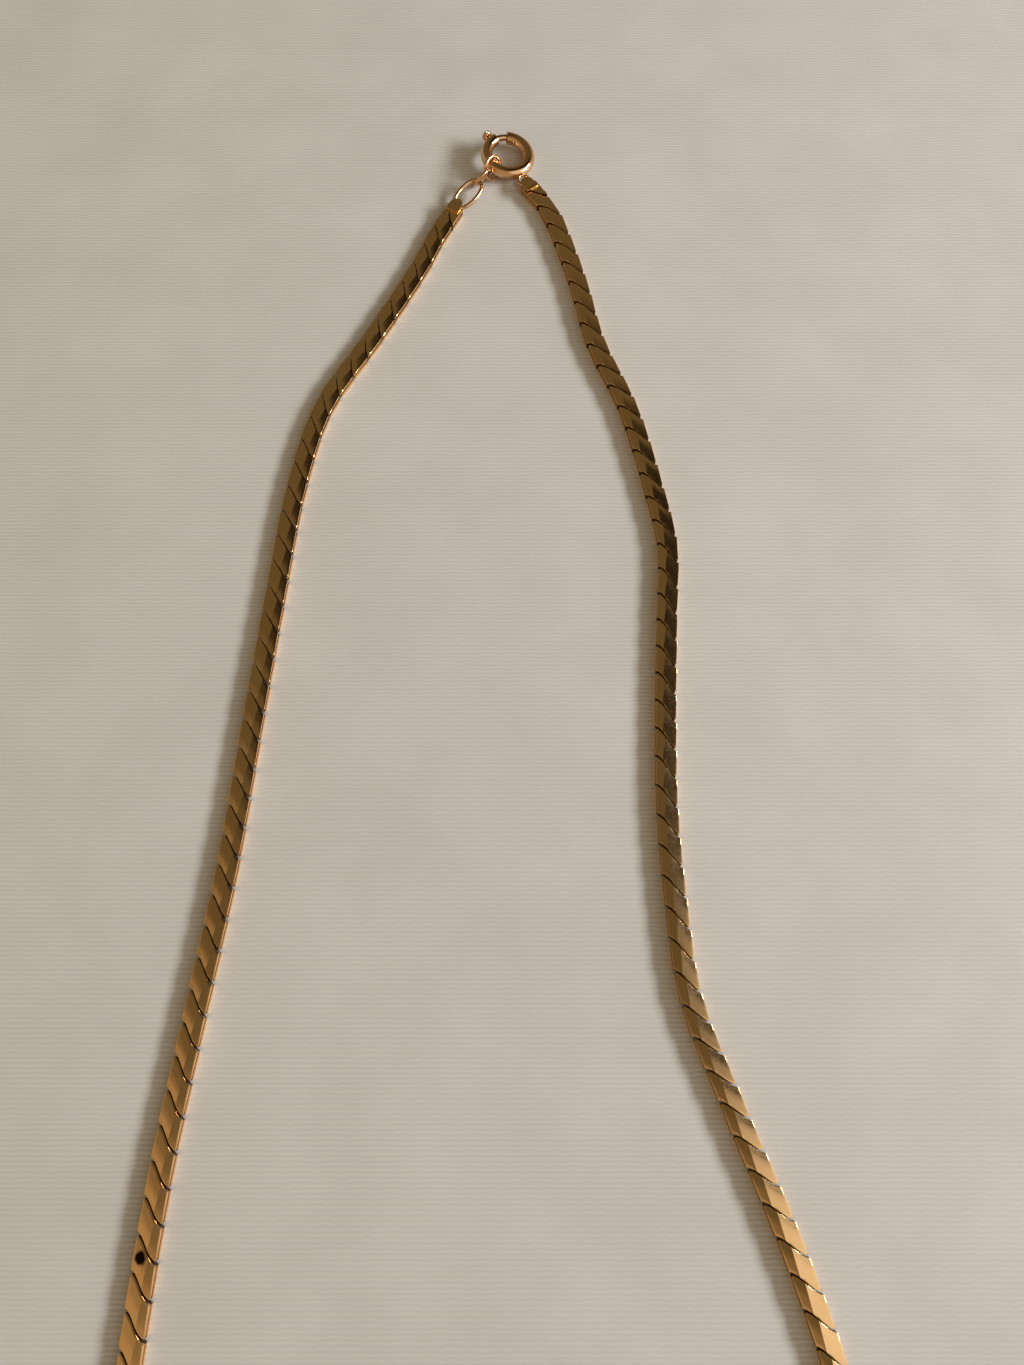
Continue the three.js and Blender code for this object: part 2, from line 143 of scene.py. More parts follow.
def stamped(spot):
    """Where a point of the straight blank goes when the link is stamped and folded."""
    x, y, z = spot
    along = min(max(x / LINK_LENGTH, 0), 1)
    side = min(max(y / LINK_HALF_WIDTH, -1), 1)
    if abs(y - RIDGE_ROW) < EPS and z > LINK_THICKNESS - EPS:
        y -= RIDGE_SLANT * (2 * along - 1)
    ridge = RIDGE_ROW - RIDGE_SLANT * (2 * along - 1)
    if z > FOLD_HIGH + EPS:
        fall = (y - ridge) * LEFT_FALL if y > ridge else (ridge - y) * RIGHT_FALL
        tuck = TUCK_DEPTH * (1 - ease(x / TUCK_LENGTH))
        share = (z - FOLD_HIGH) / (LINK_THICKNESS - FOLD_HIGH)
        z -= share * (fall + tuck)
    y = y * (1 - LINK_TRIM / LINK_HALF_WIDTH) + LINK_TWIST * (1 - 2 * along)
    x += SEAM_REACH * SEAM_BOW * (side - side ** 3)
    return Vector((x, y, z))


def folded_blank(name, length, with_slot, tongue_way):
    """A straight blank with its side folds, a slot behind, and a tongue ahead (1) or behind (-1)."""
    clear_selection()
    bpy.ops.mesh.primitive_cube_add(
        size=1,
        location=(length / 2, 0, LINK_THICKNESS / 2),
        scale=(length, 2 * LINK_HALF_WIDTH, LINK_THICKNESS),
    )
    blank = bpy.context.object
    blank.name = name
    bpy.ops.object.transform_apply(location=True, rotation=True, scale=True)
    bpy.ops.object.mode_set(mode="EDIT")
    cut_across(0, [row for row in ROWS_ALONG if row < length - LAST_ROW_MARGIN])
    cut_across(1, ROWS_ACROSS)
    cut_across(2, (FOLD_LOW, FOLD_HIGH))
    pick(blank, "faces", lambda spot, part: spot.z < EPS)
    bpy.ops.mesh.dissolve_limited(angle_limit=math.radians(1))

    def in_fold(spot):
        return FOLD_LOW < spot.z < FOLD_HIGH

    for sign in (-1, 1):
        pick(blank, "faces", lambda spot, part: in_fold(spot) and spot.y * sign > LINK_HALF_WIDTH - EPS)
        bpy.ops.mesh.extrude_region_move(TRANSFORM_OT_translate={"value": (0, -sign * FOLD_DEPTH, 0)})
    if with_slot:
        pick(
            blank, "faces",
            lambda spot, part: in_fold(spot) and spot.x < EPS and abs(spot.y) < SLOT_HALF_WIDTH,
        )
        bpy.ops.mesh.extrude_region_move(TRANSFORM_OT_translate={"value": (SLOT_DEPTH, 0, 0)})
        for height, spread in ((FOLD_LOW, -SLOT_SPREAD), (FOLD_HIGH, SLOT_SPREAD)):
            pick(
                blank, "verts",
                lambda spot, part: abs(spot.z - height) < EPS and abs(spot.y) < SLOT_HALF_WIDTH + EPS
                and (spot.x < EPS or abs(spot.x - SLOT_DEPTH) < EPS),
            )
            bpy.ops.transform.translate(value=(0, 0, spread))
    if tongue_way:
        root = length if tongue_way > 0 else 0
        pick(
            blank, "faces",
            lambda spot, part: in_fold(spot) and abs(spot.x - root) < EPS
            and abs(spot.y) < TONGUE_HALF_WIDTH,
        )
        bpy.ops.mesh.extrude_region_move(
            TRANSFORM_OT_translate={"value": (tongue_way * TONGUE_LENGTH, 0, 0)},
        )
        bpy.ops.transform.resize(value=(1, TONGUE_TIP_WIDTH_SHARE, TONGUE_TIP_SHARE))
    return blank


link_blank = folded_blank("link_blank", LINK_LENGTH, True, 1)
pick(
    link_blank, "edges",
    lambda spot, part: abs(spot.z - LINK_THICKNESS) < EPS
    and all(abs(corner.co.y - RIDGE_ROW) < EPS for corner in part.verts),
)
bpy.ops.mesh.mark_sharp()
pick(
    link_blank, "edges",
    lambda spot, part: abs(part.verts[0].co.z - part.verts[1].co.z) > EPS
    and ((spot.x > LINK_LENGTH - EPS and spot.y > LINK_HALF_WIDTH - EPS)
         or (spot.x < EPS and spot.y < -LINK_HALF_WIDTH + EPS)),
)
bpy.ops.mesh.bevel(offset=LINK_CORNER_ROUND, segments=2, affect="EDGES")
pick(
    link_blank, "edges",
    lambda spot, part: abs(spot.z - LINK_THICKNESS) < EPS and len(part.link_faces) == 2
    and abs(part.link_faces[0].normal.dot(part.link_faces[1].normal)) < 0.5,
)
bpy.ops.mesh.bevel(offset=LINK_EDGE_ROUND, segments=2, affect="EDGES")
bpy.ops.object.mode_set(mode="OBJECT")


def linear(hex_colour):
    """An sRGB hex colour as linear red, green, blue and alpha."""
    parts = [int(hex_colour[i:i + 2], 16) / 255 for i in (0, 2, 4)]
    return tuple(p / 12.92 if p <= 0.04045 else ((p + 0.055) / 1.055) ** 2.4 for p in parts) + (1,)


def add_node(tree, kind, inputs, **settings):
    """Adds a node with its settings. An input is a value, or the socket that feeds it."""
    node = tree.nodes.new(kind)
    for name, value in settings.items():
        setattr(node, name, value)
    for name, value in inputs.items():
        if isinstance(value, bpy.types.NodeSocket):
            tree.links.new(value, node.inputs[name])
        else:
            node.inputs[name].default_value = value
    return node


MIX_UNDER = 6               # the colour mix node's own sockets
MIX_OVER = 7
MIX_RESULT = 2


def blend_colours(tree, share, under, over):
    """The socket of a colour between two others, each a hex colour or a socket."""
    mix = add_node(tree, "ShaderNodeMix", {"Factor": share}, data_type="RGBA")
    for place, colour in ((MIX_UNDER, under), (MIX_OVER, over)):
        if isinstance(colour, str):
            mix.inputs[place].default_value = linear(colour)
        else:
            tree.links.new(colour, mix.inputs[place])
    return mix.outputs[MIX_RESULT]


def add_noise(tree, place, size_mm, detail):
    """Noise whose patches are about so many millimetres across."""
    return add_node(tree, "ShaderNodeTexNoise", {
        "Vector": place, "Scale": 1 / (size_mm * MM), "Detail": detail,
    }).outputs["Fac"]


def new_material(name, roughness, metallic):
    made = bpy.data.materials.new(name)
    made.use_nodes = True
    shader = made.node_tree.nodes["Principled BSDF"]
    shader.inputs["Roughness"].default_value = roughness
    shader.inputs["Metallic"].default_value = metallic
    return made, made.node_tree, shader


# Gold plate over stamped brass, polished by tumbling: a warm mirror, a little dulled in patches by
# wear, with a fine grain, and with one dark spot of tarnish on the left side.
POLISHED_GOLD = "EAC38E"
WORN_GOLD = "DDB07A"
TARNISH_BROWN = "1E1408"
WEAR_PATCH_MM = 6
GRAIN_MM = 0.25             # real grain is finer than shows
GRAIN_RELIEF = 0.05
GRAIN_HEIGHT = 0.00002
GOLD_ROUGHNESS = (0.13, 0.2)
TARNISH_SPOT = (-0.0461, -0.0472, 0.0015)
TARNISH_RADIUS = 0.0008
TARNISH_EDGE = (1.2, 1.7)   # in radii, with up to one radius of raggedness added
TARNISH_DULLING = 0.4

plated_gold, tree, shader = new_material("plated_gold_stamped", GOLD_ROUGHNESS[0], 1)
place = add_node(tree, "ShaderNodeTexCoord", {}).outputs["Object"]
wear = add_noise(tree, place, WEAR_PATCH_MM, 3)
grain = add_noise(tree, place, GRAIN_MM, 4)
base = blend_colours(tree, wear, POLISHED_GOLD, WORN_GOLD)
spot_distance = add_node(tree, "ShaderNodeVectorMath", {0: place, 1: TARNISH_SPOT}, operation="DISTANCE")
ragged = add_node(tree, "ShaderNodeTexNoise", {
    "Vector": place, "Scale": 0.7 / TARNISH_RADIUS, "Detail": 2,
})
spot_reach = add_node(tree, "ShaderNodeMath", {
    0: ragged.outputs["Fac"], 1: TARNISH_RADIUS, 2: spot_distance.outputs["Value"],
}, operation="MULTIPLY_ADD")
spot_share = add_node(tree, "ShaderNodeMapRange", {
    "Value": spot_reach.outputs["Value"],
    "From Min": TARNISH_RADIUS * TARNISH_EDGE[0], "From Max": TARNISH_RADIUS * TARNISH_EDGE[1],
    "To Min": 1, "To Max": 0,
}, interpolation_type="SMOOTHSTEP").outputs["Result"]
tree.links.new(blend_colours(tree, spot_share, base, TARNISH_BROWN), shader.inputs["Base Color"])
dulled = add_node(tree, "ShaderNodeMapRange", {
    "Value": grain, "From Min": 0.3, "From Max": 0.7,
    "To Min": GOLD_ROUGHNESS[0], "To Max": GOLD_ROUGHNESS[1],
})
spot_dull = add_node(tree, "ShaderNodeMath", {
    0: spot_share, 1: TARNISH_DULLING, 2: dulled.outputs["Result"],
}, operation="MULTIPLY_ADD")
tree.links.new(spot_dull.outputs["Value"], shader.inputs["Roughness"])
relief = add_node(tree, "ShaderNodeBump", {
    "Height": grain, "Strength": GRAIN_RELIEF, "Distance": GRAIN_HEIGHT,
})
tree.links.new(relief.outputs["Normal"], shader.inputs["Normal"])

# The walls of the seams and the slots are painted a near-black brown. This is a painted shade that
# stands in for the dark between the links, and the plate there is left rough.
SEAM_SHADE_DARK = "3A2410"
SEAM_SHADE_LIGHT = "6A4620"
SEAM_SHADE_MOTTLE_MM = 0.6
seam_shade_brown, tree, shader = new_material("browned_plate_unpolished", 0.5, 1)
place = add_node(tree, "ShaderNodeTexCoord", {}).outputs["Object"]
seam_shade_mottle = add_noise(tree, place, SEAM_SHADE_MOTTLE_MM, 2)
tree.links.new(blend_colours(tree, seam_shade_mottle, SEAM_SHADE_DARK, SEAM_SHADE_LIGHT), shader.inputs["Base Color"])

# Faces of the straight blank that face inwards or into a seam, below the top plate.
SIDE_BAND = 0.2
TOP_BAND = 0.35
FOLD_FLOOR_MARGIN = 0.05
FACING = 0.7                # how square to a direction a face is that faces it
LEVEL = 0.99
link_blank.data.materials.append(plated_gold)
link_blank.data.materials.append(seam_shade_brown)
for face in link_blank.data.polygons:
    height = face.center.z
    outer_side = abs(face.normal.y) > FACING and abs(face.center.y) > LINK_HALF_WIDTH - SIDE_BAND
    inner = FOLD_LOW - SLOT_SPREAD - EPS < height < FOLD_HIGH + SLOT_SPREAD + EPS and not outer_side
    inner = inner and abs(face.center.y) < LINK_HALF_WIDTH - FOLD_DEPTH - FOLD_FLOOR_MARGIN
    end_wall = abs(face.normal.x) > FACING and height < LINK_THICKNESS - TOP_BAND
    # faces inside the folds and on the end walls take the painted seam shade
    face.material_index = 1 if (inner or end_wall) and abs(face.normal.z) < LEVEL else 0
for corner in link_blank.data.vertices:
    corner.co = stamped(corner.co)
smooth(link_blank, LINK_SMOOTH_DEG)

SEGMENTS = 44
LINKS_PER_SEGMENT = 3


def segment_middle(number):
    low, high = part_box(f"chain_segment_{min(max(number, 1), SEGMENTS):02d}")
    return (low + high) / 2


def link_corners(number):
    """The four rim corners of each link of a segment: behind and ahead on its left, then its right."""
    mesh = frame["nodes"][f"chain_segment_{number:02d}"].data
    rim = {
        (round(corner.co.x, 5), round(corner.co.y, 5))
        for corner in mesh.vertices if abs(corner.co.z - LINK_RIM_HEIGHT) < 1e-6
    }
    onward = segment_middle(number + 1) - segment_middle(number - 1)
    onward.z = 0
    onward.normalize()
    left = Vector((-onward.y, onward.x, 0))
    middle = segment_middle(number)
    sides = []
    for sign in (1, -1):
        side = [Vector((x, y, 0)) for x, y in rim]
        side = [spot for spot in side if (spot - middle).dot(left) * sign > 0]
        sides.append(sorted(side, key=lambda spot: spot.dot(onward)))
    return [
        (sides[0][2 * i], sides[0][2 * i + 1], sides[1][2 * i], sides[1][2 * i + 1])
        for i in range(LINKS_PER_SEGMENT)
    ]


def lay_link(blank, corners):
    """A copy of the straight link, bent to lie between its four corners."""
    link = blank.copy()
    link.data = blank.data.copy()
    bpy.context.scene.collection.objects.link(link)
    left_behind, left_ahead, right_behind, right_ahead = corners
    for corner in link.data.vertices:
        along = corner.co.x / LINK_LENGTH
        across = (corner.co.y / LINK_HALF_WIDTH + 1) / 2
        behind = right_behind.lerp(left_behind, across)
        ahead = right_ahead.lerp(left_ahead, across)
        height = corner.co.z * MM
        corner.co = behind + (ahead - behind) * along
        corner.co.z = height
    return link


for number in range(1, SEGMENTS + 1):
    links = [lay_link(link_blank, corners) for corners in link_corners(number)]
    clear_selection()
    for link in links:
        link.select_set(True)
    bpy.context.view_layer.objects.active = links[0]
    bpy.ops.object.join()
    segment = bpy.context.object
    segment.name = f"chain_links_{number:02d}"
    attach(segment, f"segment_{number:02d}")
    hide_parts(f"chain_segment_{number:02d}")
bpy.data.objects.remove(link_blank)

# End links. At each end of the chain a half link carries an open strip, folded over the wire that it
# hangs on: the clasp's eye on the right, the oval jump ring on the left.
END_BLOCK_LENGTH = 2.25
END_BLOCK_HEIGHT_SHARE = 0.94
END_WIRE_REACH = 2.87
END_SEAM_SPARE = 0.12
END_STRIP = 0.33
END_STRIP_PATH = (
    (0.95, 1.775, 1.2), (2.2, 1.775, 1.2), (3.1, 1.775, 1.05), (3.6, 1.74, 0.7), (3.86, 1.6, 0.36),
    (3.96, 1.3, 0.26), (3.96, 0.65, 0.26), (3.86, 0.35, 0.36), (3.6, 0.21, 0.7), (3.1, 0.175, 1.05),
    (2.15, 0.175, 1.2),
)                           # how far along, how high and how wide to each side, from lap to lap
END_STRIP_COLUMNS = 4
END_STRIP_ROUND = 0.06
SHARP_EDGE_DEG = 50
PIECE_SMOOTH_DEG = 40
joint_place = {
    joint["name"]: (Vector(joint["pos_m"]), Vector(joint["axis"])) for joint in frame["joints"]
}


def seamed(spot):
    """Where a point of the end block goes when its back is cut to the slant of the seam."""
    x, y, z = spot
    side = min(max(y / LINK_HALF_WIDTH, -1), 1)
    seam = (LINK_PITCH - LINK_LENGTH) / 2 + END_SEAM_SPARE
    seam += SEAM_REACH * (side + SEAM_BOW * (side - side ** 3))
    share = (END_BLOCK_LENGTH - x) / END_BLOCK_LENGTH
    if x < 0:
        return Vector((x + seam, y, z))
    return Vector((
        x + share * seam, y * (1 - LINK_TRIM / LINK_HALF_WIDTH), z * END_BLOCK_HEIGHT_SHARE,
    ))


for side_name, inner_hinge, tongue_way in (("right", "fold_right_01", -1), ("left", "fold_left_01", 0)):
    block = folded_blank(f"end_link_{side_name}_strip", END_BLOCK_LENGTH, not tongue_way, tongue_way)
    bpy.ops.object.mode_set(mode="OBJECT")
    for corner in block.data.vertices:
        corner.co = seamed(corner.co)
    clear_selection()
    bpy.ops.mesh.primitive_grid_add(
        x_subdivisions=len(END_STRIP_PATH) - 1, y_subdivisions=END_STRIP_COLUMNS, size=1,
    )
    strip = bpy.context.object
    for corner in strip.data.vertices:
        step = round((corner.co.x + 0.5) * (len(END_STRIP_PATH) - 1))
        reach, height, half_width = END_STRIP_PATH[step]
        corner.co = (reach, corner.co.y * 2 * half_width, height)
    sheet = strip.modifiers.new("sheet", "SOLIDIFY")
    sheet.thickness = END_STRIP
    sheet.offset = 0
    rounding = strip.modifiers.new("rounding", "BEVEL")
    rounding.width = END_STRIP_ROUND
    rounding.segments = 2
    rounding.limit_method = "ANGLE"
    rounding.angle_limit = math.radians(SHARP_EDGE_DEG)
    for modifier in list(strip.modifiers):
        bpy.ops.object.modifier_apply(modifier=modifier.name)
    clear_selection()
    strip.select_set(True)
    block.select_set(True)
    bpy.context.view_layer.objects.active = block
    bpy.ops.object.join()
    wire = joint_place[f"fold_{side_name}_00"][0]
    towards_wire = wire - joint_place[inner_hinge][0]
    towards_wire.z = 0
    towards_wire.normalize()
    seam_middle = wire - towards_wire * END_WIRE_REACH * MM
    seam_middle.z = 0
    across = Vector((-towards_wire.y, towards_wire.x, 0))
    turn = Matrix((towards_wire, across, Vector((0, 0, 1)))).transposed().to_4x4()
    block.data.transform(Matrix.Translation(seam_middle) @ turn @ Matrix.Scale(MM, 4))
    block.data.materials.clear()
    block.data.materials.append(plated_gold)
    # the seam and slot walls of the end links take the painted seam shade
    block.data.materials.append(seam_shade_brown)
    smooth(block, PIECE_SMOOTH_DEG)
    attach(block, f"end_{side_name}")
    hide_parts(f"end_link_{side_name}")

# Clasp. The spring ring is drawn brass tube rolled to a C and polished, brighter than the chain.
CASE_RADIUS = 3.87
CASE_TUBE_RADIUS = 1.08
CASE_WALL = 0.2
CASE_LIP_ROUND = 0.05
CASE_LIP_DEG = 55
CASE_STEPS = 120
CASE_SIDES = 28
MOUTH_DEG = (92, 126)
SLOT_DEG = (125, 182)
SLOT_HALF_HEIGHT = 0.4
EYE_DEG = 300
EYE_REACH = 5.9
EYE_RADIUS = 1.05
EYE_WIRE = 0.3
EYE_STEPS = 56
EYE_SIDES = 16

# Polished by hand and often touched: nearly a mirror, pinker than the chain, hazed where it is handled.
CLASP_GOLD = "E2BC92"
HANDLED_GOLD = "CDA076"
HAZE_MM = 2.5
CLASP_ROUGHNESS = (0.08, 0.17)
bright_gold, tree, shader = new_material("bright_gold_plate_polished", CLASP_ROUGHNESS[0], 1)
place = add_node(tree, "ShaderNodeTexCoord", {}).outputs["Object"]
haze = add_noise(tree, place, HAZE_MM, 3)
tree.links.new(blend_colours(tree, haze, CLASP_GOLD, HANDLED_GOLD), shader.inputs["Base Color"])
handled = add_node(tree, "ShaderNodeMapRange", {
    "Value": haze, "From Min": 0.3, "From Max": 0.7,
    "To Min": CLASP_ROUGHNESS[0], "To Max": CLASP_ROUGHNESS[1],
})
tree.links.new(handled.outputs["Result"], shader.inputs["Roughness"])

clasp_middle, clasp_axis = joint_place["bolt_slide"]
clasp_turn = Vector((0, 0, 1)).rotation_difference(clasp_axis).to_matrix().to_4x4()
clasp_place = Matrix.Translation(clasp_middle) @ clasp_turn @ Matrix.Scale(MM, 4)


def angle_of(spot):
    return math.degrees(math.atan2(spot.y, spot.x)) % 360


def settle(piece, name, body, nodes, material, place):
    """Puts a finished piece in its place, in its material, on its body."""
    piece.name = name
    piece.data.transform(piece.matrix_world)
    piece.matrix_world = Matrix.Identity(4)
    piece.data.transform(place)
    piece.data.materials.clear()
    piece.data.materials.append(material)
    smooth(piece, PIECE_SMOOTH_DEG)
    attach(piece, body)
    if nodes:
        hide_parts(*nodes)


def apply_modifiers(piece):
    clear_selection()
    piece.select_set(True)
    bpy.context.view_layer.objects.active = piece
    for modifier in list(piece.modifiers):
        bpy.ops.object.modifier_apply(modifier=modifier.name)


def add_torus(radius, wire, around, section):
    clear_selection()
    bpy.ops.mesh.primitive_torus_add(
        major_radius=radius, minor_radius=wire, major_segments=around, minor_segments=section,
    )
    return bpy.context.object


case = add_torus(CASE_RADIUS, CASE_TUBE_RADIUS, CASE_STEPS, CASE_SIDES)
bpy.ops.object.mode_set(mode="EDIT")
pick(case, "faces", lambda spot, part: MOUTH_DEG[0] < angle_of(spot) < MOUTH_DEG[1])
bpy.ops.mesh.delete(type="FACE")
pick(
    case, "faces",
    lambda spot, part: SLOT_DEG[0] < angle_of(spot) < SLOT_DEG[1]
    and abs(spot.z) < SLOT_HALF_HEIGHT and spot.xy.length > CASE_RADIUS,
)
bpy.ops.mesh.delete(type="FACE")
bpy.ops.object.mode_set(mode="OBJECT")
wall = case.modifiers.new("wall", "SOLIDIFY")
wall.thickness = CASE_WALL
wall.offset = -1
rounding = case.modifiers.new("rounding", "BEVEL")
rounding.width = CASE_LIP_ROUND
rounding.segments = 2
rounding.limit_method = "ANGLE"
rounding.angle_limit = math.radians(CASE_LIP_DEG)
apply_modifiers(case)
settle(case, "clasp_case_tube", "clasp", ["clasp_case"], bright_gold, clasp_place)

eye = add_torus(EYE_RADIUS, EYE_WIRE, EYE_STEPS, EYE_SIDES)
eye_angle = math.radians(EYE_DEG)
eye_shift = Matrix.Translation((EYE_REACH * math.cos(eye_angle), EYE_REACH * math.sin(eye_angle), 0))
settle(eye, "clasp_eye_loop", "clasp", ["clasp_eye"], bright_gold, clasp_place @ eye_shift)

# Bolt. A solid brass wire bent to the case's curve, its tip rounded, that closes the mouth. Its tail
# is thinned to a tang that the coil spring sits round.
BOLT_BEND_RADIUS = 3.95
BOLT_RADIUS = 0.55
BOLT_DEG = (85, 190)
BOLT_STEPS = 144
BOLT_SIDES = 20
BOLT_TIP_ROUND = 0.2
TANG_START_DEG = 147
TANG_SHARE = 0.6            # of the wire's thickness
bolt = add_torus(BOLT_BEND_RADIUS, BOLT_RADIUS, BOLT_STEPS, BOLT_SIDES)
bpy.ops.object.mode_set(mode="EDIT")
pick(bolt, "faces", lambda spot, part: not BOLT_DEG[0] < angle_of(spot) < BOLT_DEG[1])
bpy.ops.mesh.delete(type="FACE")
pick(bolt, "edges", lambda spot, part: part.is_boundary)
bpy.ops.mesh.edge_face_add()
pick(bolt, "edges", lambda spot, part: any(len(face.verts) > 4 for face in part.link_faces))
bpy.ops.mesh.bevel(offset=BOLT_TIP_ROUND, segments=3, affect="EDGES")
bpy.ops.object.mode_set(mode="OBJECT")
for corner in bolt.data.vertices:
    if angle_of(corner.co) > TANG_START_DEG:
        wire_middle = Vector((corner.co.x, corner.co.y, 0)).normalized() * BOLT_BEND_RADIUS
        corner.co = wire_middle.lerp(corner.co, TANG_SHARE)
settle(bolt, "clasp_bolt_rod", "bolt", ["clasp_bolt"], bright_gold, clasp_place)

# Thumb tab. A turned brass stud riveted into the bolt through the slot, its domed head grooved round
# for the nail.
THUMB_DEG = 135
THUMB_PROFILE = (
    (0, 4.0), (0.27, 4.0), (0.27, 5.05), (0.6, 5.08), (0.84, 5.14), (0.92, 5.26), (0.9, 5.4),
    (0.76, 5.5), (0.88, 5.62), (0.86, 5.8), (0.68, 5.95), (0.36, 6.04), (0, 6.06),
)                           # out from the stud's own line, and out from the clasp's middle
THUMB_STEPS = 28
WELD_GAP = 0.002
clear_selection()
bpy.ops.mesh.primitive_plane_add(size=1)
thumb = bpy.context.object
bpy.ops.object.mode_set(mode="EDIT")
bpy.ops.mesh.delete(type="VERT")
stud = bmesh.from_edit_mesh(thumb.data)
row = [stud.verts.new((out, 0, up)) for out, up in THUMB_PROFILE]
for here, there in zip(row, row[1:]):
    stud.edges.new((here, there))
bmesh.update_edit_mesh(thumb.data)
bpy.ops.mesh.select_all(action="SELECT")
bpy.ops.mesh.spin(steps=THUMB_STEPS, angle=math.tau, center=(0, 0, 0), axis=(0, 0, 1))
bpy.ops.mesh.select_all(action="SELECT")
bpy.ops.mesh.remove_doubles(threshold=WELD_GAP)
bpy.ops.mesh.normals_make_consistent(inside=False)
bpy.ops.object.mode_set(mode="OBJECT")
thumb_turn = Matrix.Rotation(math.radians(THUMB_DEG), 4, "Z") @ Matrix.Rotation(math.radians(90), 4, "Y")
settle(
    thumb, "clasp_thumb_stud", "bolt", ["clasp_thumb_tab"], bright_gold,
    clasp_place @ thumb_turn,
)

# Coil spring. Drawn steel wire inside the case behind the bolt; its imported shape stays. Drawing leaves
# it a dull grey that shows only through the slot.
SPRING_LIGHT = "C4C6C8"
SPRING_DARK = "8E9194"
DRAW_MARK_MM = 0.2
spring_wire, tree, shader = new_material("drawn_spring_steel", 0.34, 1)
place = add_node(tree, "ShaderNodeTexCoord", {}).outputs["Object"]
draw_marks = add_noise(tree, place, DRAW_MARK_MM, 2)
tree.links.new(blend_colours(tree, draw_marks, SPRING_LIGHT, SPRING_DARK), shader.inputs["Base Color"])
spring = frame["nodes"]["clasp_spring"]
spring.data.materials.clear()
spring.data.materials.append(spring_wire)

# Rings. Round brass wire bent to a ring whose ends butt together at a fine split, then plated.
RING_WIRE = 0.31
SPLIT_GAP = 0.05
RING_CURVE_STEPS = 18
RING_SIDE_STEPS = 5
RINGS = (("hook_ring", 1.9, 200), ("link_ring", 1.85, 75))    # radius, and where its split is


def add_ring(half_length, half_width, wire, split_deg):
    """A wire ring in mm, flat on the XY plane, with its split at an angle."""
    clear_selection()
    bpy.ops.curve.primitive_bezier_circle_add(radius=1)
    ring = bpy.context.object
    ring.data.dimensions = "3D"
    ring.data.resolution_u = RING_CURVE_STEPS
    for point in ring.data.splines[0].bezier_points:
        for part in ("co", "handle_left", "handle_right"):
            spot = getattr(point, part)
            setattr(point, part, Vector((spot.x * half_length, spot.y * half_width, 0)))
    ring.data.bevel_depth = wire
    ring.data.bevel_resolution = RING_SIDE_STEPS
    bpy.ops.object.convert(target="MESH")
    bpy.ops.object.mode_set(mode="EDIT")
    bpy.ops.mesh.select_all(action="SELECT")
    bpy.ops.mesh.remove_doubles(threshold=0.001)
    split = math.radians(split_deg)
    spot = Vector((half_length * math.cos(split), half_width * math.sin(split), 0))
    square = Vector((-half_length * math.sin(split), half_width * math.cos(split), 0)).normalized()
    for shift in (-SPLIT_GAP / 2, SPLIT_GAP / 2):
        bpy.ops.mesh.select_all(action="SELECT")
        bpy.ops.mesh.bisect(plane_co=spot + square * shift, plane_no=square, threshold=CUT_THRESHOLD)
    pick(
        ring, "faces",
        lambda middle, part: abs((middle - spot).dot(square)) < SPLIT_GAP / 2 + EPS
        and (middle - spot).length < 3 * wire,
    )
    bpy.ops.mesh.delete(type="FACE")
    pick(ring, "edges", lambda middle, part: part.is_boundary)
    bpy.ops.mesh.edge_face_add()
    bpy.ops.mesh.select_all(action="SELECT")
    bpy.ops.mesh.normals_make_consistent(inside=False)
    bpy.ops.object.mode_set(mode="OBJECT")
    return ring


for name, radius, split_deg in RINGS:
    ring = add_ring(radius, radius, RING_WIRE, split_deg)
    middle, axis = joint_place[f"{name}_spin"]
    turn = Vector((0, 0, 1)).rotation_difference(axis).to_matrix().to_4x4()
    ring_place = Matrix.Translation(middle) @ turn @ Matrix.Scale(MM, 4)
    settle(ring, f"{name}_wire", name, [name], bright_gold, ring_place)

# Jump ring. A heavier oval wire ring that joins the small rings to the chain's left end.
JUMP_HALF_LENGTH = 3.1
JUMP_HALF_WIDTH = 1.7
JUMP_WIRE = 0.36
JUMP_SPLIT_DEG = 130
jump = add_ring(JUMP_HALF_LENGTH, JUMP_HALF_WIDTH, JUMP_WIRE, JUMP_SPLIT_DEG)
middle, long_way = joint_place["jump_ring_rock"]
wide_way = Vector((0, 0, 1)).cross(long_way).normalized()
turn = Matrix((long_way, wide_way, long_way.cross(wide_way))).transposed().to_4x4()
jump_place = Matrix.Translation(middle) @ turn @ Matrix.Scale(MM, 4)
settle(jump, "jump_ring_wire", "jump_ring", ["jump_ring"], bright_gold, jump_place)

# Table and light. A pale painted board with faint ribs, lit by a low soft window on the right. The
# ribs' shade is painted into the board's colour as faint bands and mixed with a random mottle, on top of
# their small bump.
TABLE_SIZE = 3
TABLE_PAINT = "DFDDDC"
TABLE_SHADE = "CBC9C6"
RIB_SPACING_MM = 0.65
RIB_SHADE = 0.45
RIB_HEIGHT = 0.00004
WAVE_TURNS = 20             # the wave texture turns this many radians for each unit of its scale
MOTTLE_SCALE = 60
clear_selection()
bpy.ops.mesh.primitive_plane_add(size=TABLE_SIZE)
table = bpy.context.object
table.name = "table"
painted_board, tree, shader = new_material("pale_painted_board", 0.55, 0)
place = add_node(tree, "ShaderNodeTexCoord", {}).outputs["Object"]
ribs = add_node(tree, "ShaderNodeTexWave", {
    "Vector": place, "Scale": math.tau / (WAVE_TURNS * RIB_SPACING_MM * MM),
    "Distortion": 2, "Detail": 3,
}, bands_direction="Y")
mottle = add_node(tree, "ShaderNodeTexNoise", {"Vector": place, "Scale": MOTTLE_SCALE, "Detail": 5})
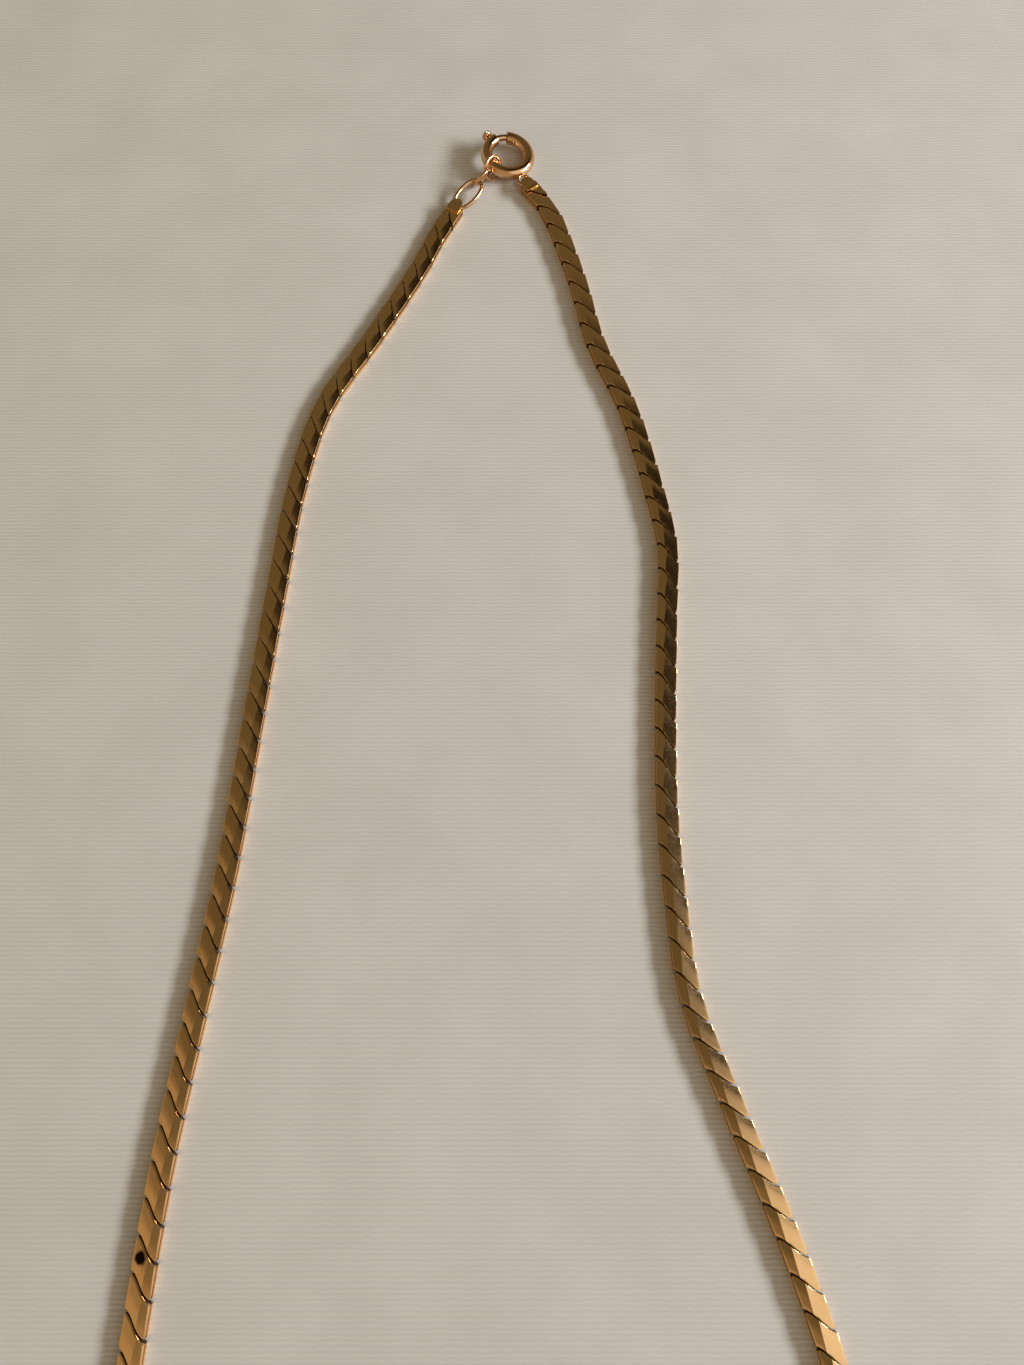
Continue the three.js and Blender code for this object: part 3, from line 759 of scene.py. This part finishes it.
# painted shade of the ribs as colour bands, added to the board's random mottle
rib_shade_and_mottle = add_node(tree, "ShaderNodeMath", {
    0: ribs.outputs["Fac"], 1: RIB_SHADE, 2: mottle.outputs["Fac"],
}, operation="MULTIPLY_ADD").outputs["Value"]
tree.links.new(blend_colours(tree, rib_shade_and_mottle, TABLE_PAINT, TABLE_SHADE), shader.inputs["Base Color"])
relief = add_node(tree, "ShaderNodeBump", {
    "Height": ribs.outputs["Fac"], "Strength": 1, "Distance": RIB_HEIGHT,
})
tree.links.new(relief.outputs["Normal"], shader.inputs["Normal"])
table.data.materials.append(painted_board)

WINDOW_PLACE = (1.1, 0.1, 0.49)
WINDOW_SIZE = (0.7, 0.21)
WINDOW_POWER = 18
WINDOW_COLOUR = "F3F4F4"
window_data = bpy.data.lights.new("window", "AREA")
window_data.shape = "RECTANGLE"
window_data.size, window_data.size_y = WINDOW_SIZE
window_data.energy = WINDOW_POWER
window_data.color = linear(WINDOW_COLOUR)[:3]
window = bpy.data.objects.new("window", window_data)
window.location = WINDOW_PLACE
window.rotation_euler = Vector(window.location).to_track_quat("Z", "Y").to_euler()
bpy.context.scene.collection.objects.link(window)

# The room: pale warm walls, a dim ceiling that is darkest just right of overhead, and the glow of a
# bright wall beyond the table's right front corner.
WALL = "BCA482"
CEILING = "6A6048"
CEILING_RISE = (0.5, 0.88)
FRONT_LIFT = 0.6            # how much the wall's light reaches up over the front of the room
DARK = "1E1810"
DARK_SPREAD = (0.89, 0.97)  # the cosines at which the dark patch starts and is full
GLOW_SPREAD = (0.81, 0.93)
ROOM_STRENGTH = 1.05
DARK_WAY = (0.5, 0.3, 0.81)
GLOW_WAY = (0.74, -0.36, 0.57)
GLOW = "FFF9F0"
room = bpy.data.worlds.new("room")
bpy.context.scene.world = room
room.use_nodes = True
tree = room.node_tree
background = tree.nodes["Background"]
way = add_node(tree, "ShaderNodeTexCoord", {}).outputs["Generated"]
parts = add_node(tree, "ShaderNodeSeparateXYZ", {"Vector": way})


def share_between(tree, value, low, high):
    return add_node(tree, "ShaderNodeMapRange", {
        "Value": value, "From Min": low, "From Max": high, "To Min": 0, "To Max": 1,
    }, interpolation_type="SMOOTHSTEP").outputs["Result"]


def towards(tree, way, centre):
    meeting = add_node(tree, "ShaderNodeVectorMath", {0: way, 1: centre}, operation="DOT_PRODUCT")
    return meeting.outputs["Value"]


height = add_node(tree, "ShaderNodeMath", {
    0: parts.outputs["Y"], 1: FRONT_LIFT, 2: parts.outputs["Z"],
}, operation="MULTIPLY_ADD").outputs["Value"]
ceiling_share = share_between(tree, height, *CEILING_RISE)
shell = blend_colours(tree, ceiling_share, WALL, CEILING)
dark_share = share_between(tree, towards(tree, way, DARK_WAY), *DARK_SPREAD)
shell = blend_colours(tree, dark_share, shell, DARK)
glow_share = share_between(tree, towards(tree, way, GLOW_WAY), *GLOW_SPREAD)
shell = blend_colours(tree, glow_share, shell, GLOW)
tree.links.new(shell, background.inputs["Color"])
background.inputs["Strength"].default_value = ROOM_STRENGTH
